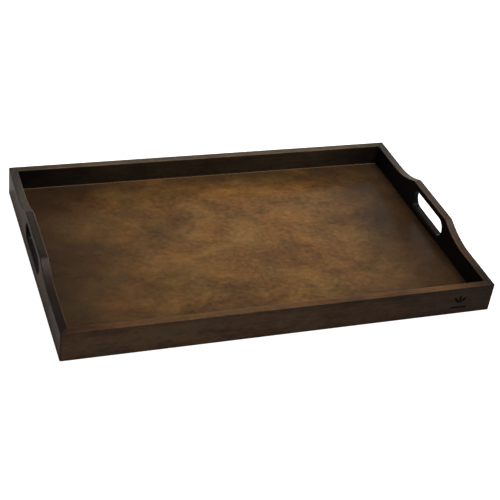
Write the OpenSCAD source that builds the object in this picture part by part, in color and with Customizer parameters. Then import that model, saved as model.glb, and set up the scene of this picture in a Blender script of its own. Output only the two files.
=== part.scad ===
// Wooden serving tray: four mitred boards around a floor panel, with a hand slot in each raised end.
// Units are millimetres. The origin is on the standing surface, under the middle of the tray.
// +X runs along the length, towards the right-hand end. +Y runs towards the back rail. +Z is up.

/* [Tray] */
// Overall length, over the two ends
tray_l = 600; // [480:5:660]
// Overall width, over the two rails
tray_w = 388; // [340:2:420]
// Height of the rails above the standing surface
rail_h = 43; // [40:1:50]
// Thickness of the four boards
board_t = 11.5; // [10:0.5:14]

/* [Handles] */
// Height of each handle's flat top above the standing surface
handle_h = 58.5; // [56:0.5:70]
// Length of each handle's flat top
handle_l = 108; // [100:2:130]
// Length of the hollow curve on each side of a handle
cove_run = 63; // [30:1:75]
// Length of the hand slot, end to end
slot_l = 98; // [70:1:104]
// Height of the hand slot
slot_h = 27; // [20:0.5:28]
// Height of the hand slot's lower edge above the standing surface
slot_z = 21; // [19:0.5:24]

/* [Floor] */
// Height of the floor above the standing surface
floor_z = 11.5; // [8:0.5:13]
// Thickness of the floor panel
panel_t = 5; // [3:0.5:6]
// Depth of the groove that holds the panel
groove_d = 5; // [3:0.5:6]
// Room left for the panel to swell, between each of its edges and the bottom of the groove
panel_gap = 0.5; // [0:0.1:1]

/* [Corner joints] */
// Thickness of the spline across each mitre
spline_t = 3; // [2:0.5:4]
// Width of the spline, half of it in each board
spline_w = 8; // [6:0.5:9]
// Length of the spline, which stops short of the rail's top edge
spline_l = 24; // [12:1:24]
// Height of the spline's lower end above the standing surface
spline_z = 14.5; // [14:0.5:15]
// Room left for glue at each end and side of a spline
glue_gap = 0.3; // [0:0.1:0.5]

/* [Branded mark] */
// Distance of the mark from the right-hand end of the front rail
mark_inset = 50; // [30:5:200]
// Height of the point that the leaves point away from
mark_z = 17; // [17:0.5:24]
// Length of one leaf
leaf_l = 13; // [6:0.5:14]
// Width of one leaf
leaf_w = 3.8; // [2:0.2:4]
// Distance of each leaf's base from that point
leaf_gap = 1.4; // [1:0.1:2]
// Angle of the two side leaves from upright
leaf_tilt = 38; // [36:1:70]
// Length of the bar under the leaves
bar_l = 24; // [10:1:30]
// Height of the bar
bar_h = 2.6; // [0.8:0.2:3]
// Distance of the bar's middle below the point
bar_drop = 6; // [5:0.5:8]
// Depth that the mark is burnt into the wood
mark_d = 0.4; // [0.2:0.1:0.8]

/* [Hidden] */
$fn = 96;
wood_dark = [0.25, 0.18, 0.15];
wood_floor = [0.42, 0.31, 0.19];
wood_spline = [0.72, 0.58, 0.40];
// Length that a cutting shape runs past the wood on each side
past = 1;
// Straight steps along each side of a leaf
leaf_steps = 12;
// Each hollow curve is a circular arc, level where it leaves the rail's height
cove_rise = handle_h - rail_h;
cove_r = (cove_run * cove_run + cove_rise * cove_rise) / (2 * cove_rise);
cove_y = handle_l / 2 + cove_run;
well_l = tray_l - 2 * board_t;
well_w = tray_w - 2 * board_t;

// Plan of one board of a mitred frame: its outer face on the X axis, its thickness towards +Y
module mitred_plan(length) {
  half = length / 2;
  polygon([
    [-half, 0],
    [half, 0],
    [half - board_t, board_t],
    [board_t - half, board_t],
  ]);
}

// A straight board of the frame, standing on its edge, mitred at both ends
module mitred_board(length, height) {
  linear_extrude(height) mitred_plan(length);
}

// A slot with round ends, centred on the origin
module stadium(length, height) {
  straight = length - height;
  square([straight, height], center = true);
  for (side = [-1, 1])
    translate([side * straight / 2, 0]) circle(d = height);
}

// Side view of an end board: low at both corners, rising through hollow curves to the handle
module end_profile() {
  difference() {
    translate([-tray_w / 2, 0]) square([tray_w, handle_h]);
    for (side = [-1, 1]) {
      translate([side * cove_y, rail_h + cove_r]) circle(r = cove_r, $fn = 360);
      translate([side * (cove_y + tray_w / 2), rail_h + handle_h / 2])
        square([tray_w, handle_h], center = true);
    }
    translate([0, slot_z + slot_h / 2]) stadium(slot_l, slot_h);
  }
}

// The groove around the inside of the frame, as the solid that it takes away
module floor_groove() {
  translate([0, 0, floor_z - panel_t / 2])
    cube([well_l + 2 * groove_d, well_w + 2 * groove_d, panel_t], center = true);
}

// A block across the mitre at one corner; side_x and side_y are -1 or 1
module corner_block(side_x, side_y, width, length) {
  translate([
    side_x * (tray_l - board_t) / 2,
    side_y * (tray_w - board_t) / 2,
    spline_z + spline_l / 2,
  ])
    rotate([0, 0, atan2(side_y, side_x)])
      cube([spline_t, width, length], center = true);
}

// What is cut from every board: the floor's groove and the spline slots
module joinery() {
  floor_groove();
  for (side_x = [-1, 1], side_y = [-1, 1])
    corner_block(side_x, side_y, spline_w + 2 * glue_gap, spline_l + 2 * glue_gap);
}

// One leaf along +Y between two arcs that meet at its base and its tip, clear of the origin
module leaf() {
  arc_r = (leaf_l * leaf_l + leaf_w * leaf_w) / (4 * leaf_w);
  half_angle = asin(leaf_l / 2 / arc_r);
  translate([0, leaf_gap + leaf_l / 2])
    polygon([
      for (side = [-1, 1], i = [0 : leaf_steps - 1])
        let (angle = side * half_angle * (2 * i / leaf_steps - 1))
          [side * (arc_r * cos(angle) - arc_r + leaf_w / 2), arc_r * sin(angle)],
    ]);
}

// The branded mark, flat: three leaves over a bar
module mark() {
  for (tilt = [-leaf_tilt, 0, leaf_tilt])
    rotate(tilt) leaf();
  translate([0, -bar_drop]) stadium(bar_l, bar_h);
}

// One long rail with its outer face at the front
module rail() {
  difference() {
    translate([0, -tray_w / 2, 0]) mitred_board(tray_l, rail_h);
    joinery();
  }
}

// One end board with its outer face at the right
module end_board() {
  difference() {
    intersection() {
      translate([tray_l / 2, 0, 0]) rotate([0, 0, 90]) mitred_board(tray_w, handle_h);
      translate([tray_l / 2 - board_t - past, 0, 0])
        rotate([90, 0, 90])
          linear_extrude(board_t + 2 * past) end_profile();
    }
    joinery();
  }
}

module spline(side_x, side_y) {
  color(wood_spline) corner_block(side_x, side_y, spline_w, spline_l);
}

module front_rail() {
  color(wood_dark)
    difference() {
      rail();
      translate([tray_l / 2 - mark_inset, mark_d - tray_w / 2, mark_z])
        rotate([90, 0, 0])
          linear_extrude(mark_d + past) mark();
    }
}

module back_rail() {
  color(wood_dark) mirror([0, 1, 0]) rail();
}

module left_end() {
  color(wood_dark) mirror([1, 0, 0]) end_board();
}

module right_end() {
  color(wood_dark) end_board();
}

module base_panel() {
  edge = groove_d - panel_gap;
  color(wood_floor)
    translate([0, 0, floor_z - panel_t / 2])
      cube([well_l + 2 * edge, well_w + 2 * edge, panel_t], center = true);
}

front_rail();
back_rail();
left_end();
right_end();
base_panel();
spline(-1, -1);  // spline_front_left
spline(1, -1);  // spline_front_right
spline(-1, 1);  // spline_back_left
spline(1, 1);  // spline_back_right
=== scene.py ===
"""Looks of the wooden serving tray: boards and floor panel with rounded edges, stain with painted light
and shade.
"""
import math

import bmesh
import bpy
from mathutils import Matrix, Vector


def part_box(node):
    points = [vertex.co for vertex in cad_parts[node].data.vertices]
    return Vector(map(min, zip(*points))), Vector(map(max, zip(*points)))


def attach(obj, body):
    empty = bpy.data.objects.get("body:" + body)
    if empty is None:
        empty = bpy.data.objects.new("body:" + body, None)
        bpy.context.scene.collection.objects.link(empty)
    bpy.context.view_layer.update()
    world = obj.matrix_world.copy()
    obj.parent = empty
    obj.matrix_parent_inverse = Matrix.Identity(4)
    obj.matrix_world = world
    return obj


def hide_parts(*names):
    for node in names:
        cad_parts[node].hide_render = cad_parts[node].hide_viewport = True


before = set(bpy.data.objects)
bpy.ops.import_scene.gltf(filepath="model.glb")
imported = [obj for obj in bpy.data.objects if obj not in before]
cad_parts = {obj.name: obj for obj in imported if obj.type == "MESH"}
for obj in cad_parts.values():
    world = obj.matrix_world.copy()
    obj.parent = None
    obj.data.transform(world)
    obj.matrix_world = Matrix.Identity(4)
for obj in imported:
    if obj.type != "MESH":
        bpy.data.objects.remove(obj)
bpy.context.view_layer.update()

# ---------------------------------------------------------------- sizes, in metres, from the frame
# Two places closer than this are the same place
TINY = 1e-5
rail_low, rail_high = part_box("front_rail")
end_low, end_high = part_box("right_end")
panel_low, panel_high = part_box("base_panel")
LENGTH = rail_high.x - rail_low.x
WIDTH = end_high.y - end_low.y
BOARD_T = end_high.x - end_low.x
RAIL_H = rail_high.z
HANDLE_H = end_high.z
FLOOR_Z = panel_high.z

end_points = [v.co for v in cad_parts["right_end"].data.vertices]
HANDLE_HALF = max(p.y for p in end_points if p.z > HANDLE_H - TINY)
COVE_END = min(p.y for p in end_points if abs(p.z - RAIL_H) < TINY and p.y > HANDLE_HALF)
slot_points = [
    p for p in end_points
    if abs(p.y) < HANDLE_HALF - TINY and FLOOR_Z + TINY < p.z < HANDLE_H - TINY
]
SLOT_HALF = max(p.y for p in slot_points)
SLOT_LOW = min(p.z for p in slot_points)
SLOT_HIGH = max(p.z for p in slot_points)
SLOT_R = (SLOT_HIGH - SLOT_LOW) / 2

# The mark's recess in the front rail
MARK_MAX_DEPTH = 0.002
mark_points = [
    v.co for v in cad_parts["front_rail"].data.vertices
    if TINY < v.co.y + WIDTH / 2 < MARK_MAX_DEPTH
]
MARK_LOW = Vector(min(p[i] for p in mark_points) for i in range(3))
MARK_HIGH = Vector(max(p[i] for p in mark_points) for i in range(3))

# Radii that sanding and wear leave: on the top edges, the upright corners, the ends of a handle's flat
# top, the edges that the tray stands on, and the lips of the hand slots
ARRIS_R = 0.0016
CORNER_R = 0.0022
HANDLE_CORNER_R = 0.003
FOOT_R = 0.0008
SLOT_ROUND = 0.0022

# How far the panel's upper face lies below the CAD's, and half the depth that its waves add to that
PANEL_REVEAL = 0.00012
WAVE_DEPTH = 0.00005
# (radians a metre along x, radians a metre along y, phase, relative size) of each wave
WAVES = ((17, 2, 0.6, 1.0), (-6, 23, 1.9, 1.0), (41, 29, 0.0, 0.6), (9, 67, 0.0, 0.5))

# Room round the panel in its groove, and round a spline in its slot as a share of the spline's size
GROOVE_ROOM = 0.0005
SPLINE_ROOM = 0.06
# Keeps the cut faces of a mitre from sharing one plane. It is far too little to see.
MITRE_ROOM = 0.000002
# How far a cutter runs past the wood
PAST = 0.02

# The upward part of a normal: at least UPWARD on an upper face, and at most LEVEL on an upright one
UPWARD = 0.5
LEVEL = 0.2


# ---------------------------------------------------------------- mesh helpers
def new_object(name, mesh):
    piece = bpy.data.objects.new(name, mesh)
    bpy.context.scene.collection.objects.link(piece)
    return piece


def from_bmesh(name, bm):
    bmesh.ops.recalc_face_normals(bm, faces=bm.faces)
    mesh = bpy.data.meshes.new(name)
    bm.to_mesh(mesh)
    bm.free()
    return new_object(name, mesh)


def loft(name, rings):
    """A closed solid through rings that have the same number of points, with flat ends."""
    bm = bmesh.new()
    made = [[bm.verts.new(p) for p in ring] for ring in rings]
    count = len(made[0])
    for a, b in zip(made, made[1:]):
        for i in range(count):
            j = (i + 1) % count
            bm.faces.new((a[i], a[j], b[j], b[i]))
    bm.faces.new(made[0])
    bm.faces.new(made[-1])
    return from_bmesh(name, bm)


def prism(name, outline, low, high):
    """An outline of (x, y) points, extruded from z = low to z = high."""
    return loft(name, [[(x, y, z) for x, y in outline] for z in (low, high)])


def boolean(piece, cutter, operation):
    """Replaces the piece's mesh with its exact difference from, or intersection with, the cutter."""
    modifier = piece.modifiers.new("cut", "BOOLEAN")
    modifier.operation = operation
    modifier.solver = "EXACT"
    modifier.object = cutter
    bpy.context.view_layer.update()
    evaluated = piece.evaluated_get(bpy.context.evaluated_depsgraph_get())
    mesh = bpy.data.meshes.new_from_object(evaluated)
    piece.modifiers.clear()
    old = piece.data
    piece.data = mesh
    bpy.data.meshes.remove(old)


def remove(piece):
    bpy.data.objects.remove(piece)


def copy_of(piece, name):
    return new_object(name, piece.data.copy())


def join_flat(piece, flat_angle=math.radians(0.05)):
    """Joins doubled points and flat faces that touch."""
    bm = bmesh.new()
    bm.from_mesh(piece.data)
    bmesh.ops.remove_doubles(bm, verts=bm.verts, dist=1e-6)
    bmesh.ops.dissolve_limit(
        bm, angle_limit=flat_angle, verts=bm.verts, edges=bm.edges, delimit={"MATERIAL"}
    )
    bm.to_mesh(piece.data)
    bm.free()


def shade_rounded(piece, sharp_angle=math.radians(32)):
    """Shades the rounded edges smooth up to the flat faces."""
    bm = bmesh.new()
    bm.from_mesh(piece.data)
    for face in bm.faces:
        face.smooth = True
    for edge in bm.edges:
        edge.smooth = len(edge.link_faces) == 2 and edge.calc_face_angle() < sharp_angle
    bm.to_mesh(piece.data)
    bm.free()
    weighted = piece.modifiers.new("weighted_normals", "WEIGHTED_NORMAL")
    weighted.keep_sharp = True


# ---------------------------------------------------------------- the frame of four boards
def end_outline():
    """(y, z) along an end board's top, from its front corner to its back corner."""
    run = COVE_END - HANDLE_HALF
    rise = HANDLE_H - RAIL_H
    radius = (run * run + rise * rise) / (2 * rise)
    sweep = math.asin(run / radius)
    steps = 20
    cove = []
    for i in range(steps + 1):
        angle = sweep * (1 - i / steps)
        cove.append((HANDLE_HALF + run - radius * math.sin(angle),
                     RAIL_H + radius * (1 - math.cos(angle))))
    front_cove = [(-y, z) for y, z in reversed(cove)]
    return [(-WIDTH / 2, RAIL_H), *front_cove, *cove, (WIDTH / 2, RAIL_H)]


def stations():
    """(outer x, outer y, inner x, inner y, top z) round the frame, anticlockwise from the front left."""
    half_l, half_w = LENGTH / 2, WIDTH / 2
    inner_l, inner_w = half_l - BOARD_T, half_w - BOARD_T
    found = []
    for side in (1, -1):
        for y, z in end_outline():
            inner_y = max(-inner_w, min(inner_w, y))
            found.append((side * half_l, side * y, side * inner_l, side * inner_y, z))
    return found


def edges_between(bm, test):
    """The edges that pass a test of the edge and the normals of its two faces."""
    return [
        e for e in bm.edges
        if len(e.link_faces) == 2 and test(e, e.link_faces[0].normal, e.link_faces[1].normal)
    ]


def round_over(bm, edges, radius, segments):
    bmesh.ops.bevel(
        bm, geom=edges, offset=radius, segments=segments, profile=0.5, affect="EDGES",
        clamp_overlap=True,
    )
    bm.normal_update()


def whole_frame():
    """The four boards as one ring, with its edges and outer corners rounded."""
    bm = bmesh.new()
    rows = []
    for outer_x, outer_y, inner_x, inner_y, top in stations():
        rows.append([
            bm.verts.new((outer_x, outer_y, 0)),
            bm.verts.new((outer_x, outer_y, top)),
            bm.verts.new((inner_x, inner_y, top)),
            bm.verts.new((inner_x, inner_y, 0)),
        ])
    for a, b in zip(rows, rows[1:] + rows[:1]):
        for i in range(4):
            j = (i + 1) % 4
            bm.faces.new((a[i], b[i], b[j], a[j]))
    bmesh.ops.recalc_face_normals(bm, faces=bm.faces)
    bm.normal_update()

    def outer_corner(edge, n1, n2):
        a, b = (v.co for v in edge.verts)
        at_corner = abs(a.x) > LENGTH / 2 - TINY and abs(a.y) > WIDTH / 2 - TINY
        return at_corner and (a.xy - b.xy).length < TINY

    def handle_corner(edge, n1, n2):
        least_turn = math.radians(15)
        return min(n1.z, n2.z) > UPWARD and n1.dot(n2) < math.cos(least_turn)

    def top_arris(edge, n1, n2):
        return max(n1.z, n2.z) > UPWARD and abs(min(n1.z, n2.z)) < LEVEL

    def foot_arris(edge, n1, n2):
        return min(n1.z, n2.z) < -UPWARD and abs(max(n1.z, n2.z)) < LEVEL

    round_over(bm, edges_between(bm, outer_corner), CORNER_R, segments=5)
    round_over(bm, edges_between(bm, handle_corner), HANDLE_CORNER_R, segments=4)
    round_over(bm, edges_between(bm, top_arris), ARRIS_R, segments=4)
    round_over(bm, edges_between(bm, foot_arris), FOOT_R, segments=2)
    return from_bmesh("whole_frame", bm)


def stadium(half_length, radius, centre_z, steps=20):
    """(y, z) points round a slot with round ends."""
    straight = half_length - radius
    points = []
    for side in (1, -1):
        for i in range(steps + 1):
            angle = math.pi * (i / steps - 0.5)
            points.append((side * (straight + radius * math.cos(angle)),
                           centre_z + side * radius * math.sin(angle)))
    return points


def slot_cutter(side):
    """What the router takes from an end board: the hand slot with rounded lips."""
    inner = LENGTH / 2 - BOARD_T
    outer = LENGTH / 2
    centre_z = (SLOT_LOW + SLOT_HIGH) / 2
    steps = 5
    lip = []
    for i in range(steps + 1):
        angle = math.pi / 2 * i / steps
        lip.append((SLOT_ROUND * (1 - math.sin(angle)), SLOT_ROUND * (1 - math.cos(angle))))
    profile = [(inner - PAST, SLOT_ROUND)]
    profile += [(inner + depth, widen) for depth, widen in reversed(lip)]
    profile += [(outer - depth, widen) for depth, widen in lip]
    profile += [(outer + PAST, SLOT_ROUND)]
    rings = [
        [(side * x, y, z) for y, z in stadium(SLOT_HALF + widen, SLOT_R + widen, centre_z)]
        for x, widen in profile
    ]
    return loft("slot_cutter", rings)


def groove_cutter():
    """The groove round the inside of the boards that holds the panel."""
    x, y = panel_high.x + GROOVE_ROOM, panel_high.y + GROOVE_ROOM
    outline = [(-x, -y), (x, -y), (x, y), (-x, y)]
    return prism("groove_cutter", outline, panel_low.z, panel_high.z)


def spline_cutter(name):
    """The slot for one spline: the spline's own shape, a little larger."""
    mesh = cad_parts[name].data.copy()
    low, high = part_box(name)
    centre = (low + high) / 2
    grown = Matrix.Scale(1 + SPLINE_ROOM, 4)
    mesh.transform(Matrix.Translation(centre) @ grown @ Matrix.Translation(-centre))
    bm = bmesh.new()
    bm.from_mesh(mesh)
    bmesh.ops.remove_doubles(bm, verts=bm.verts, dist=1e-6)
    return from_bmesh("spline_cutter", bm)


def recess_faces():
    """The indices of the faces at the bottom of the mark burnt into the front rail."""
    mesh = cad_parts["front_rail"].data
    return {
        p.index for p in mesh.polygons
        if p.normal.y < TINY - 1 and TINY < p.center.y + WIDTH / 2 < MARK_MAX_DEPTH
    }


def mark_cutter():
    """What the branding iron takes away: the bottom of the mark, drawn out past the rail's face."""
    kept = recess_faces()
    bm = bmesh.new()
    bm.from_mesh(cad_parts["front_rail"].data)
    bm.faces.ensure_lookup_table()
    bmesh.ops.delete(bm, geom=[f for f in bm.faces if f.index not in kept], context="FACES")
    bmesh.ops.remove_doubles(bm, verts=bm.verts, dist=1e-6)
    outward = bmesh.ops.extrude_face_region(bm, geom=bm.faces[:])
    moved = [g for g in outward["geom"] if isinstance(g, bmesh.types.BMVert)]
    bmesh.ops.translate(bm, verts=moved, vec=(0, -PAST, 0))
    return from_bmesh("mark_cutter", bm)


def board_sector(side_x, side_y):
    """The mitred sector of the plan that one board fills."""
    past = PAST / 2
    half_l, half_w = LENGTH / 2 + past, WIDTH / 2 + past
    depth = BOARD_T + 2 * past
    if side_x:
        half_w -= MITRE_ROOM
        outline = [(half_l, -half_w), (half_l, half_w),
                   (half_l - depth, half_w - depth), (half_l - depth, depth - half_w)]
        outline = [(side_x * x, y) for x, y in outline]
    else:
        half_l -= MITRE_ROOM
        outline = [(-half_l, half_w), (half_l, half_w),
                   (half_l - depth, half_w - depth), (depth - half_l, half_w - depth)]
        outline = [(x, side_y * y) for x, y in outline]
    return prism("sector", outline, -past, HANDLE_H + past)


SPLINES = ("spline_front_left", "spline_front_right", "spline_back_left", "spline_back_right")
BOARDS = {
    "front_rail": (0, -1),
    "back_rail": (0, 1),
    "left_end": (-1, 0),
    "right_end": (1, 0),
}


def make_boards():
    """The four boards by node name: the ring with its joinery cut, parted at the mitres."""
    ring = whole_frame()
    cutters = [slot_cutter(1), slot_cutter(-1), groove_cutter()]
    cutters += [spline_cutter(name) for name in SPLINES]
    cutters.append(mark_cutter())
    for cutter in cutters:
        boolean(ring, cutter, "DIFFERENCE")
        remove(cutter)
    made = {}
    for node, (side_x, side_y) in BOARDS.items():
        board = copy_of(ring, node + "_board")
        sector = board_sector(side_x, side_y)
        boolean(board, sector, "INTERSECT")
        remove(sector)
        made[node] = board
    remove(ring)
    return made


# ---------------------------------------------------------------- the floor panel
def panel_height(x, y):
    """The panel's upper face: flat at its edges, with a faint hand-sanded waviness between."""
    rim_sharpness = 6
    calm_x = max(0.0, 1 - (abs(x) / (LENGTH / 2 - BOARD_T)) ** rim_sharpness)
    calm_y = max(0.0, 1 - (abs(y) / (WIDTH / 2 - BOARD_T)) ** rim_sharpness)
    wave = sum(size * math.sin(rate_x * x + rate_y * y + phase) for rate_x, rate_y, phase, size in WAVES)
    largest = sum(size for *_, size in WAVES)
    depth = WAVE_DEPTH * (1 + wave / largest)
    return panel_high.z - PANEL_REVEAL - depth * calm_x * calm_y


def make_panel():
    """The wavy upper face as a grid, with four narrow sides and one flat face below it."""
    columns, rows = 96, 62
    bm = bmesh.new()
    grid = []
    for j in range(rows + 1):
        y = panel_low.y + (panel_high.y - panel_low.y) * j / rows
        grid.append([])
        for i in range(columns + 1):
            x = panel_low.x + (panel_high.x - panel_low.x) * i / columns
            grid[j].append(bm.verts.new((x, y, panel_height(x, y))))
    for j in range(rows):
        for i in range(columns):
            bm.faces.new((grid[j][i], grid[j][i + 1], grid[j + 1][i + 1], grid[j + 1][i]))
    rim = grid[0][:-1] + [row[-1] for row in grid[:-1]]
    rim += grid[-1][:0:-1] + [row[0] for row in grid[:0:-1]]
    under = [bm.verts.new((v.co.x, v.co.y, panel_low.z)) for v in rim]
    for i in range(len(rim)):
        j = (i + 1) % len(rim)
        bm.faces.new((rim[i], rim[j], under[j], under[i]))
    bm.faces.new(under)
    return from_bmesh("floor_panel", bm)


# ---------------------------------------------------------------- materials
# Linear colours. Each set of tones runs from the darkest stain to the palest.
RAIL_TONES = ((0.007, 0.005, 0.005), (0.066, 0.036, 0.018), (0.125, 0.070, 0.035))
END_TONES = ((0.006, 0.005, 0.005), (0.052, 0.033, 0.022), (0.115, 0.074, 0.048))
PANEL_TONES = ((0.016, 0.009, 0.005), (0.096, 0.047, 0.014), (0.210, 0.102, 0.029))
BURNT_TONES = ((0.003, 0.002, 0.0016), (0.010, 0.007, 0.005))
SPLINE_TONES = ((0.33, 0.19, 0.09), (0.62, 0.44, 0.25))
WORN_TONE = (0.20, 0.125, 0.07)
RED_TINT = (1.22, 0.93, 0.85)
OLIVE_TINT = (0.82, 1.07, 1.15)
# The front and back tints paint sheen: greyer towards the back, where more of the bright sweep is
# reflected
FRONT_TINT = (1.09, 0.94, 0.70)
BACK_SHEEN_TINT = (1.0, 1.3, 1.55)

# Strength of the paler stain on the outer, inner and upper faces, each at the left or front end of a
# board and at its right or back end. It paints light and shade by face as well as stain: the dark inner
# faces of the end boards and the darker left end of the back rail's inner face are painted shade, and the
# left board's outer face, paler towards the back, is painted sheen.
STAIN_AND_SHADE = {
    "front_rail": ((1.7, 0.58), (0.8, 0.8), (0.88, 0.88)),
    "back_rail": ((1.0, 1.0), (0.5, 1.0), (0.7, 0.7)),
    "left_end": ((1.4, 2.1), (0.1, 0.1), (0.12, 0.78)),
    "right_end": ((1.0, 1.0), (0.07, 0.07), (0.57, 0.58)),
}
# What is left of that strength inside a hand slot, as painted shade, and on the flat top of each handle
SLOT_SHADE_LEVEL = 0.15
HANDLE_STAIN = {"left_end": 0.62, "right_end": 1.0}
# Height of the darker band along the top of the outer faces, and what is left of the strength there
BAND_H = 0.014
BAND_STAIN = 0.65
# What is left of the strength in the painted shade at the mitres: on the outer faces, on the upper faces
# at the back, and on all the others
OUTER_CORNER_SHADE_LEVEL = 0.85
BACK_CORNER_SHADE_LEVEL = 0.58
CORNER_SHADE_LEVEL = 0.18
# How far the painted shade reaches from a mitre along the inner faces, and along the others
INNER_REACH = 0.20
REACH = 0.14
# Where a mitre's fine dark line starts to fade and where it ends, as distances from the joint
MITRE_LINE = (0.0001, 0.0006)
# The same for the pale line along the rails
PALE_RAIL_LINE = (0.0008, 0.0025)

# A face starts to count as turned a way at the first value of that part of its normal, and is
# fully turned at the second
TURNED = (0.5, 0.9)
# The trunk's centre, which the growth rings go round: this far outside a board and below its foot
PITH_OUT = 0.02
PITH_DOWN = 0.03
PANEL_PITH = (0, 0.05, -0.09)
# Picks the part of the noise that the panel shows
PANEL_SEED = 15
# Depth of the fine relief of grain and char
RELIEF = 0.0001


class Tree:
    """Short calls for building a material's node tree."""

    def __init__(self, name):
        self.material = bpy.data.materials.new(name)
        self.material.use_nodes = True
        self.nodes = self.material.node_tree.nodes
        self.links = self.material.node_tree.links
        self.shader = self.nodes["Principled BSDF"]

    def node(self, kind, inputs=None, **settings):
        made = self.nodes.new(kind)
        for key, value in settings.items():
            setattr(made, key, value)
        for key, value in (inputs or {}).items():
            self.put(made.inputs[key], value)
        return made

    def put(self, socket, value):
        if isinstance(value, bpy.types.NodeSocket):
            self.links.new(value, socket)
        else:
            socket.default_value = value

    def set(self, name, value):
        """Gives one of the shader's own inputs a value or a pattern."""
        self.put(self.shader.inputs[name], value)

    def math(self, operation, a, b=0.0, c=0.0):
        return self.node("ShaderNodeMath", {0: a, 1: b, 2: c}, operation=operation).outputs[0]

    def clamped(self, value):
        """The value held between 0 and 1."""
        held = self.node("ShaderNodeMath", {0: value, 1: 0.0}, operation="ADD", use_clamp=True)
        return held.outputs[0]

    def minus(self, a, b):
        return self.math("SUBTRACT", a, b)

    def times(self, first, *others):
        product = first
        for other in others:
            product = self.math("MULTIPLY", product, other)
        return product

    def total(self, start, *parts):
        """start plus each pattern times its weight; the parts are (pattern, weight)."""
        found = start
        for pattern, weight in parts:
            found = self.math("MULTIPLY_ADD", pattern, weight, found)
        return found

    def between(self, low, high, share):
        """low where share is 0, and high where it is 1."""
        return self.math("MULTIPLY_ADD", share, self.minus(high, low), low)

    def ramp(self, value, stops):
        """stops is a list of (position, colour), where a colour is three values or one grey."""
        made = self.node("ShaderNodeValToRGB", {"Fac": value})
        ramp = made.color_ramp
        while len(ramp.elements) < len(stops):
            ramp.elements.new(0.5)
        for element, (position, level) in zip(ramp.elements, stops):
            element.position = position
            colour = level if isinstance(level, tuple) else (level, level, level)
            element.color = (*colour, 1)
        return made.outputs["Color"]

    def mix(self, factor, a, b, blend="MIX"):
        made = self.node("ShaderNodeMix", data_type="RGBA", blend_type=blend)
        self.put(made.inputs["Factor"], factor)
        for key, value in (("A", a), ("B", b)):
            socket = next(s for s in made.inputs if s.name == key and s.type == "RGBA")
            self.put(socket, (*value, 1) if isinstance(value, tuple) else value)
        return next(s for s in made.outputs if s.type == "RGBA")

    def multiplied(self, colour, tint):
        return self.mix(1.0, colour, tint, blend="MULTIPLY")

    def stretched(self, vector, scale, offset=(0, 0, 0)):
        made = self.node("ShaderNodeMapping", {"Vector": vector, "Scale": scale, "Location": offset})
        return made.outputs["Vector"]

    def noise(self, vector, detail=3.0, roughness=0.5, distortion=0.0):
        """Noise with one cell a unit of the vector."""
        made = self.node("ShaderNodeTexNoise", {
            "Vector": vector, "Scale": 1.0, "Detail": detail,
            "Roughness": roughness, "Distortion": distortion,
        })
        return made.outputs["Fac"]

    def map_range(self, value, start, end, low=0.0, high=1.0):
        """low before start, high after end, and a smooth change between them."""
        made = self.node("ShaderNodeMapRange", {
            "Value": value, "From Min": start, "From Max": end, "To Min": low, "To Max": high,
        }, interpolation_type="SMOOTHSTEP")
        return made.outputs["Result"]

    def bump(self, height, strength):
        made = self.node("ShaderNodeBump", {"Height": height, "Strength": strength, "Distance": RELIEF})
        self.set("Normal", made.outputs["Normal"])


class Wood(Tree):
    """Satin, stained wood with its grain along the x or y axis, and the patterns that all of it shares."""

    def __init__(self, name, axis, seed, pith):
        super().__init__(name)
        self.axis = axis
        self.place = self.node("ShaderNodeTexCoord").outputs["Object"]
        parts = self.node("ShaderNodeSeparateXYZ", {0: self.place}).outputs
        self.x, self.y, self.z = parts["X"], parts["Y"], parts["Z"]
        self.shift = (seed * 1.7, seed * 2.3, seed * 3.1)

        # Slow drift of the fibres, which the grain follows
        drift = self.pattern(along=3, across=9, detail=2)
        bend = self.total(-0.015, (drift, 0.03))
        sideways = {"X": bend} if axis == "y" else {"Y": bend}
        bent = self.node("ShaderNodeCombineXYZ", {**sideways, "Z": bend}).outputs[0]
        fibres = self.node("ShaderNodeVectorMath", {0: self.place, 1: bent}, operation="ADD").outputs[0]

        # Growth rings round the tree's centre, streaks, fine fibres and short dark pores
        round_pith = self.node("ShaderNodeVectorMath", {0: fibres, 1: pith}, operation="SUBTRACT")
        self.rings = self.node("ShaderNodeTexWave", {
            "Vector": round_pith.outputs[0], "Scale": 46.0, "Distortion": 2.4, "Detail": 3.0,
            "Detail Scale": 0.6, "Detail Roughness": 0.6,
        }, wave_type="RINGS", rings_direction=axis.upper(), wave_profile="SAW").outputs["Fac"]
        self.streak = self.pattern(along=14, across=230, detail=4, roughness=0.6, vector=fibres)
        self.fibre = self.pattern(along=60, across=1500, detail=2, roughness=0.6, vector=fibres)
        pore = self.pattern(along=110, across=1300, detail=1, vector=fibres)
        self.pores = self.ramp(pore, [(0.0, 1.0), (0.32, 1.0), (0.40, 0.0), (1.0, 0.0)])

    def pattern(self, along, across, detail=3.0, roughness=0.5, distortion=0.0, vector=None):
        """Noise with so many cells a metre along and across the grain."""
        scale = (along, across, across) if self.axis == "x" else (across, along, across)
        moved = self.stretched(vector or self.place, scale, self.shift)
        return self.noise(moved, detail, roughness, distortion)

    def from_end(self, coordinate, half):
        """Distance in from either end of a piece."""
        return self.minus(half, self.math("ABSOLUTE", coordinate))

    def shade(self, level, tones, pore_depth):
        """Colours by level: the dark, middle and light tones, with the pores darker."""
        dark, middle, light = tones
        colour = self.ramp(level, [(0.0, dark), (0.45, middle), (1.0, light)])
        return self.mix(self.times(self.pores, pore_depth), colour, dark)

    def tinted(self, colour, tint):
        """The colour turned a little towards red or towards olive, by a tint between 0 and 1."""
        return self.multiplied(colour, self.mix(tint, RED_TINT, OLIVE_TINT))

    def finish(self, colour, roughness, specular):
        """A satin lacquer that follows the grain."""
        gloss = self.pattern(along=16, across=60, roughness=0.6)
        self.set("Base Color", colour)
        self.set("Roughness", self.total(roughness - 0.07, (gloss, 0.14), (self.pores, 0.15)))
        self.set("Specular IOR Level", specular)
        self.bump(self.total(0.0, (self.streak, 0.5), (self.fibre, 0.35), (self.pores, -0.9)), 0.3)
        return self.material


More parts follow.
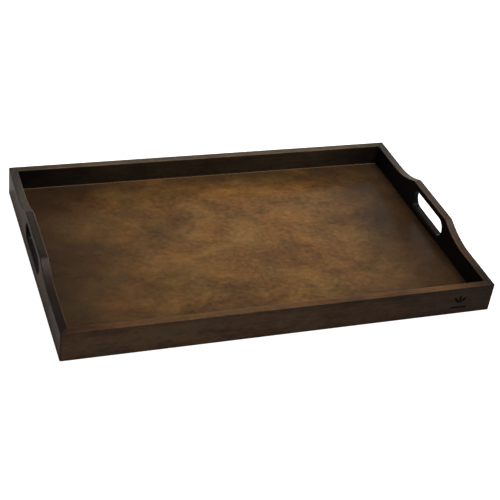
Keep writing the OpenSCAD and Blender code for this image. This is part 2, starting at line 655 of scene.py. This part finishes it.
class BoardWood(Wood):
    """A board's stain, each face at its own strength, with painted shade at the mitres and a rubbed inner
    edge.
    """

    def __init__(self, node, seed):
        side_x, side_y = BOARDS[node]
        self.board = node
        self.side = side_x or side_y
        self.is_end = side_x != 0
        self.tones = END_TONES if self.is_end else RAIL_TONES
        if self.is_end:
            pith = (self.side * (LENGTH / 2 + PITH_OUT), 0, -PITH_DOWN)
        else:
            pith = (0, self.side * (WIDTH / 2 + PITH_OUT), -PITH_DOWN)
        super().__init__("stained_" + node, "y" if self.is_end else "x", seed, pith)
        self.along, self.half = (self.y, WIDTH / 2) if self.is_end else (self.x, LENGTH / 2)

        facing = self.outward(self.node("ShaderNodeNewGeometry").outputs["Normal"])
        self.outer = self.map_range(facing, *TURNED)
        self.inner = self.map_range(self.times(facing, -1), *TURNED)
        self.upper = self.minus(self.minus(1.0, self.outer), self.inner)
        self.back = self.map_range(self.y, -WIDTH / 2, WIDTH / 2)

    def outward(self, vector):
        """The part of a vector that points out of the tray, square to the board."""
        parts = self.node("ShaderNodeSeparateXYZ", {0: vector}).outputs
        return self.times(parts["X" if self.is_end else "Y"], self.side)

    def mottling(self):
        """The stain's level, from broad blotches down to single fibres."""
        blotch = self.pattern(along=14, across=24, detail=4, roughness=0.6, distortion=0.5)
        fine = self.pattern(along=90, across=160, roughness=0.6)
        return self.total(-0.48, (blotch, 1.1), (fine, 0.45), (self.streak, 0.36), (self.rings, 0.08),
                          (self.fibre, 0.12))

    def face_strength(self):
        """The stain's strength on the outer, inner and upper faces, which also paints light and shade by
        face.
        """
        drifts = [
            self.map_range(self.along, -self.half, self.half, first, last)
            for first, last in STAIN_AND_SHADE[self.board]
        ]
        return self.total(0.0, *zip((self.outer, self.inner, self.upper), drifts))

    def clear_of_shade_and_stain(self):
        """0 in the painted shade at the mitres, and 1 clear of it."""
        cloud = self.pattern(along=24, across=40, roughness=0.6)
        from_mitre = self.total(self.from_end(self.along, self.half), (cloud, 0.06))
        reach = self.between(REACH, INNER_REACH, self.inner)
        return self.map_range(self.math("DIVIDE", from_mitre, reach), 0.1, 1.0)

    def out_of_slot(self):
        """0 inside the hand slot, and 1 outside its rounded lips."""
        straight = SLOT_HALF - SLOT_R
        past_y = self.math("MAXIMUM", self.minus(self.math("ABSOLUTE", self.y), straight), 0.0)
        past_z = self.minus(self.z, (SLOT_LOW + SLOT_HIGH) / 2)
        out = self.math("SQRT", self.total(0.0, (past_y, past_y), (past_z, past_z)))
        return self.map_range(out, SLOT_R + SLOT_ROUND / 2, SLOT_R + SLOT_ROUND)

    def rubbed(self, colour, clear_of_shade_and_stain, out_of_slot):
        """The colour, rubbed pale along the inner edge and with dark stain along the outer one."""
        # A rounded edge is where the softened normal points between two faces
        soft = self.node("ShaderNodeBevel", {"Radius": ARRIS_R}, samples=4).outputs["Normal"]
        across = self.outward(soft)
        square = self.times(across, across)
        rounded = self.math("SQRT", self.times(square, self.clamped(self.minus(1.0, square))))
        edge = self.clamped(self.times(rounded, 2.0, out_of_slot))
        inner_edge = self.map_range(self.times(across, -1), 0.0, 0.3)
        outer_edge = self.map_range(across, 0.0, 0.3)
        patches = self.pattern(along=30, across=90, detail=4, roughness=0.65)
        rub = self.ramp(patches, [(0.3, 0.1), (0.62, 0.6)])
        worn = self.times(edge, inner_edge, rub, self.between(0.3, 1.0, clear_of_shade_and_stain))
        colour = self.mix(worn, colour, WORN_TONE)
        return self.mix(self.times(edge, outer_edge, 0.5), colour, self.tones[0])

    def with_mitre_line(self, colour):
        """The colour with the fine dark line of each mitre joint."""
        off_mitre = self.minus(self.from_end(self.x, LENGTH / 2), self.from_end(self.y, WIDTH / 2))
        line = self.map_range(self.math("ABSOLUTE", off_mitre), *MITRE_LINE, low=0.7, high=0.0)
        return self.mix(line, colour, self.tones[0])

    def stain_level(self, clear_of_shade_and_stain, out_of_slot):
        """Stain by face, painted shade at the mitres and in the slot, darker high on outer faces and
        handles.
        """
        # Painted shade: darker towards each mitre, where the corners shade the wood
        back_upper = self.times(self.back, self.upper)
        least = self.between(CORNER_SHADE_LEVEL, BACK_CORNER_SHADE_LEVEL, back_upper)
        outer_least = self.times(self.outer, OUTER_CORNER_SHADE_LEVEL)
        corner = self.math("MAXIMUM", self.between(least, 1.0, clear_of_shade_and_stain), outer_least)
        in_band = self.times(self.map_range(self.z, RAIL_H - BAND_H, RAIL_H), self.outer)
        band = self.between(1.0, BAND_STAIN, in_band)
        level = self.times(self.mottling(), self.face_strength(), corner, band)
        if self.is_end:
            # Painted shade inside the hand slot, where little light reaches
            slot = self.between(SLOT_SHADE_LEVEL, 1.0, out_of_slot)
            on_handle = self.map_range(self.z, HANDLE_H - 0.002, HANDLE_H - 0.0005)
            handle = self.between(1.0, HANDLE_STAIN[self.board], on_handle)
            level = self.times(level, slot, handle)
        return self.clamped(level)

    def make(self):
        clear_of_shade_and_stain = self.clear_of_shade_and_stain()
        out_of_slot = self.out_of_slot() if self.is_end else 1.0
        colour = self.shade(self.stain_level(clear_of_shade_and_stain, out_of_slot), self.tones, pore_depth=0.45)
        colour = self.tinted(colour, self.pattern(along=18, across=24, roughness=0.6))

        # Painted sheen: warmer towards the front and greyer towards the back, where more of the bright
        # sweep would be reflected, on all but the outer face
        sheen_shifted = self.multiplied(colour, self.mix(self.back, FRONT_TINT, BACK_SHEEN_TINT))
        colour = self.mix(self.outer, sheen_shifted, colour)

        colour = self.with_mitre_line(self.rubbed(colour, clear_of_shade_and_stain, out_of_slot))
        return self.finish(colour, roughness=0.4, specular=0.07)


def panel_wood():
    """Floor stain and painted shade: golden and mottled in the middle, brown towards both ends and the
    walls.
    """
    w = Wood("stained_panel", "x", PANEL_SEED, PANEL_PITH)
    cloud = w.pattern(along=7, across=11, detail=4, roughness=0.6, distortion=0.6)
    mottle = w.pattern(along=27, across=30, detail=5, roughness=0.6, distortion=0.4)
    fine = w.pattern(along=130, across=140, roughness=0.6)
    level = w.clamped(w.total(-0.84, (cloud, 0.95), (mottle, 0.96), (fine, 0.76), (w.streak, 0.08)))

    # The edge of the dark stain and painted shade wanders with the cloud
    inner_l, inner_w = LENGTH / 2 - BOARD_T, WIDTH / 2 - BOARD_T
    wander = w.total(-0.05, (cloud, 0.10))
    from_wall = w.total(wander, (w.from_end(w.y, inner_w), 1.0))
    from_left = w.total(wander, (w.x, 1.0), (inner_l, 1.0))
    from_right = w.total(wander, (w.x, -1.0), (inner_l, 1.0))
    # Darker towards both ends: partly stain, partly painted shade and painted reflection of the end boards
    middle = w.times(w.map_range(from_left, -0.01, 0.25), w.map_range(from_right, -0.01, 0.18))
    clear_of_shade_and_stain = w.between(0.12, 1.0, middle)
    # Darker along the front and back rails: painted shade and painted reflection of the rails
    edge = w.between(0.35, 1.0, w.map_range(from_wall, 0.0, 0.07))
    colour = w.shade(w.clamped(w.times(level, clear_of_shade_and_stain, edge)), PANEL_TONES, pore_depth=0.15)
    colour = w.tinted(colour, w.pattern(along=20, across=22, roughness=0.6))

    # A thin pale line along the rails
    line = w.map_range(w.from_end(w.y, inner_w), *PALE_RAIL_LINE, low=0.4, high=0.0)
    return w.finish(w.mix(line, colour, WORN_TONE), roughness=0.29, specular=0.17)


def burnt_wood():
    """Matt char, for the bottom of the mark."""
    t = Tree("burnt_wood")
    place = t.node("ShaderNodeTexCoord").outputs["Object"]
    char = t.noise(t.stretched(place, (400, 400, 1200)), detail=4, roughness=0.6)
    dark, light = BURNT_TONES
    t.set("Base Color", t.ramp(char, [(0.3, dark), (0.7, light)]))
    t.set("Roughness", t.total(0.7, (char, 0.2)))
    t.set("Specular IOR Level", 0.05)
    t.bump(char, 0.5)
    return t.material


def spline_wood():
    """Pale wood in thin layers, for the splines inside the mitres."""
    t = Tree("spline_wood")
    place = t.node("ShaderNodeTexCoord").outputs["Object"]
    plies = t.node("ShaderNodeTexWave", {"Vector": place, "Scale": 300.0, "Distortion": 1.0},
                   wave_type="BANDS", bands_direction="DIAGONAL").outputs["Fac"]
    grain = t.noise(t.stretched(place, (900, 900, 60)), detail=4, roughness=0.6)
    dark, light = SPLINE_TONES
    t.set("Base Color", t.ramp(t.total(0.0, (grain, 0.6), (plies, 0.4)), [(0.2, dark), (0.8, light)]))
    t.set("Roughness", t.total(0.6, (grain, 0.2)))
    t.bump(grain, 0.4)
    return t.material


def burn_mark(board, material):
    """Gives the burnt material to the faces of the mark's recess."""
    board.data.materials.append(material)
    for face in board.data.polygons:
        depth = face.center.y + WIDTH / 2
        in_recess = TINY < depth < MARK_MAX_DEPTH and MARK_LOW.z < face.center.z < MARK_HIGH.z
        if in_recess and MARK_LOW.x < face.center.x < MARK_HIGH.x:
            face.material_index = 1


# ---------------------------------------------------------------- the scene
def make_camera():
    """The camera looks down at the tray from the front left, and is rolled a little."""
    azimuth, elevation, roll = math.radians(-23.17), math.radians(34.67), math.radians(8.17)
    target = Vector((0.0117, -0.0041, 0.0))
    distance = 1.690
    field_of_view = math.radians(23.95)
    back = Vector((math.sin(azimuth) * math.cos(elevation),
                   -math.cos(azimuth) * math.cos(elevation),
                   math.sin(elevation)))
    data = bpy.data.cameras.new("camera")
    data.sensor_width = 36
    data.lens = data.sensor_width / 2 / math.tan(field_of_view / 2)
    data.clip_start, data.clip_end = 0.01, 100
    camera = bpy.data.objects.new("camera", data)
    bpy.context.scene.collection.objects.link(camera)
    aim = (-back).to_track_quat("-Z", "Y").to_matrix().to_4x4()
    rolled = aim @ Matrix.Rotation(roll, 4, "Z")
    camera.matrix_world = Matrix.Translation(target + back * distance) @ rolled
    bpy.context.scene.camera = camera


# How bright the white surroundings are to the wood. The camera sees them as plain white.
WHITE_FILL = 0.05


def make_floor():
    """A matt white floor, a hair below the tray's foot so that the two faces don't fight."""
    half_size = 15.0
    below = 0.0002
    bm = bmesh.new()
    bmesh.ops.create_grid(bm, x_segments=8, y_segments=8, size=half_size)
    bmesh.ops.translate(bm, verts=bm.verts, vec=(0, 0, -below))
    floor = from_bmesh("ground", bm)
    t = Tree("ground")
    t.set("Base Color", (0.45, 0.45, 0.45, 1))
    t.set("Roughness", 0.8)
    t.set("Specular IOR Level", 0.0)
    t.set("Emission Color", (1, 1, 1, 1))
    seen = t.node("ShaderNodeLightPath").outputs["Is Camera Ray"]
    t.set("Emission Strength", t.between(WHITE_FILL, 1.0, seen))
    floor.data.materials.append(t.material)


def card(name, place, size, radiance, aim=(0, 0, 0)):
    """A flat soft light, as bright as radiance, where lit white paper in the open is about 1."""
    data = bpy.data.lights.new(name, "AREA")
    data.shape = "RECTANGLE"
    data.size, data.size_y = size
    data.energy = math.pi * size[0] * size[1] * radiance
    light = bpy.data.objects.new(name, data)
    bpy.context.scene.collection.objects.link(light)
    away = (Vector(aim) - Vector(place)).to_track_quat("-Z", "Y").to_matrix().to_4x4()
    light.matrix_world = Matrix.Translation(Vector(place)) @ away


def make_lights():
    """A softbox above the right-hand end, a white sweep behind, and two weak cards."""
    world = bpy.data.worlds.new("studio")
    world.use_nodes = True
    nodes, links = world.node_tree.nodes, world.node_tree.links
    background = nodes["Background"]
    background.inputs["Color"].default_value = (1, 1, 1, 1)
    seen = nodes.new("ShaderNodeLightPath").outputs["Is Camera Ray"]
    strength = nodes.new("ShaderNodeMapRange")
    strength.inputs["To Min"].default_value = WHITE_FILL
    strength.inputs["To Max"].default_value = 1.0
    links.new(seen, strength.inputs["Value"])
    links.new(strength.outputs["Result"], background.inputs["Strength"])
    bpy.context.scene.world = world
    card("softbox", place=(0.52, 0.0, 2.20), size=(0.5, 1.5), radiance=28.0, aim=(0.1, 0, 0))
    card("sweep", place=(1.10, 2.20, 0.56), size=(1.9, 1.15), radiance=1.3)
    card("front_card", place=(0.9, -2.2, 0.7), size=(1.6, 1.2), radiance=0.5)
    card("left_card", place=(-1.5, 0.9, 0.5), size=(1.4, 0.9), radiance=0.9, aim=(-0.3, 0.1, 0))
    bpy.context.scene.view_settings.view_transform = "Standard"


# ---------------------------------------------------------------- assembly
make_camera()
make_floor()
make_lights()

for seed, (node, board) in enumerate(make_boards().items(), start=1):
    board.data.materials.append(BoardWood(node, seed).make())
    if node == "front_rail":
        burn_mark(board, burnt_wood())
    join_flat(board)
    shade_rounded(board)
    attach(board, "root")
    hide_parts(node)

panel = make_panel()
panel.data.materials.append(panel_wood())
shade_rounded(panel)
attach(panel, "root")
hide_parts("base_panel")

splines = spline_wood()
for name in SPLINES:
    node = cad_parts[name]
    node.data.materials.clear()
    node.data.materials.append(splines)
